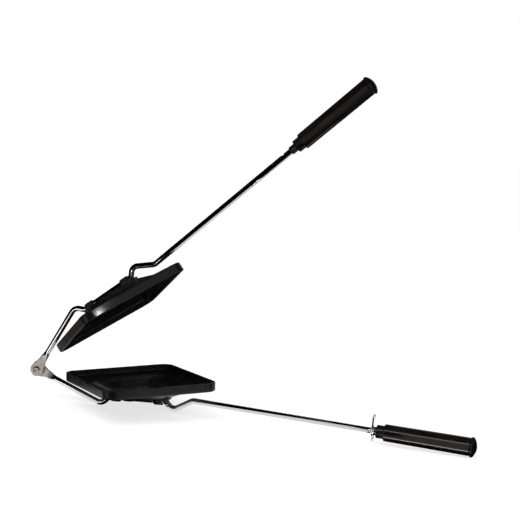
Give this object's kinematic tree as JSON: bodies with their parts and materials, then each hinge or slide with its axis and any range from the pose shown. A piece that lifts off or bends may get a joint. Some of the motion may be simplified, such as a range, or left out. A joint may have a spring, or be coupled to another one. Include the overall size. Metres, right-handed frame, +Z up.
{
  "type": "stovetop sandwich toaster",
  "caption": "Stovetop sandwich toaster with hinged square non-stick pans on chromed rods, black grips and a lock hook.",
  "frame": {"origin": "on the surface the toaster stands on, under the middle of its length and width as it stands open", "axes": "+X runs from the hinge to the grips, +Y across the pans, parallel to the hinge axis, +Z up"},
  "size_m": [0.4872, 0.1682, 0.3656],
  "materials": {
    "non_stick_coating": "black non-stick coating on cast aluminium, satin",
    "chromed_rod": "bright chrome plate on steel rod",
    "bright_steel": "plain bright steel",
    "black_phenolic": "moulded black phenolic, glossy"
  },
  "bodies": {
    "lower_half": {"lower_pan": "non_stick_coating", "lower_rod": "chromed_rod", "lower_lug_pins": "bright_steel", "lower_collar": "bright_steel", "lower_ferrule": "black_phenolic", "lower_grip": "black_phenolic", "lower_tang_washer": "bright_steel", "lower_tang_nut": "bright_steel", "lower_end_cap": "black_phenolic", "hinge_rivet": "bright_steel", "hinge_washer": "bright_steel"},
    "upper_half": {"upper_pan": "non_stick_coating", "upper_rod": "chromed_rod", "upper_lug_pins": "bright_steel", "upper_collar": "bright_steel", "upper_ferrule": "black_phenolic", "upper_grip": "black_phenolic", "upper_tang_washer": "bright_steel", "upper_tang_nut": "bright_steel", "upper_end_cap": "black_phenolic"},
    "lock_hook": {"lock_hook": "chromed_rod"}
  },
  "joints": [
    {"name": "main_hinge", "type": "hinge", "parent": "lower_half", "child": "upper_half", "pos_m": [-0.23503, 0, 0.02964], "axis": [0, -1, 0], "range_deg": [-34.9, 145.1]},
    {"name": "lock_hook_swing", "type": "hinge", "parent": "lower_half", "child": "lock_hook", "pos_m": [0.13763, 0, 0.01296], "axis": [0.9996, 0, -0.027], "continuous": true}
  ]
}
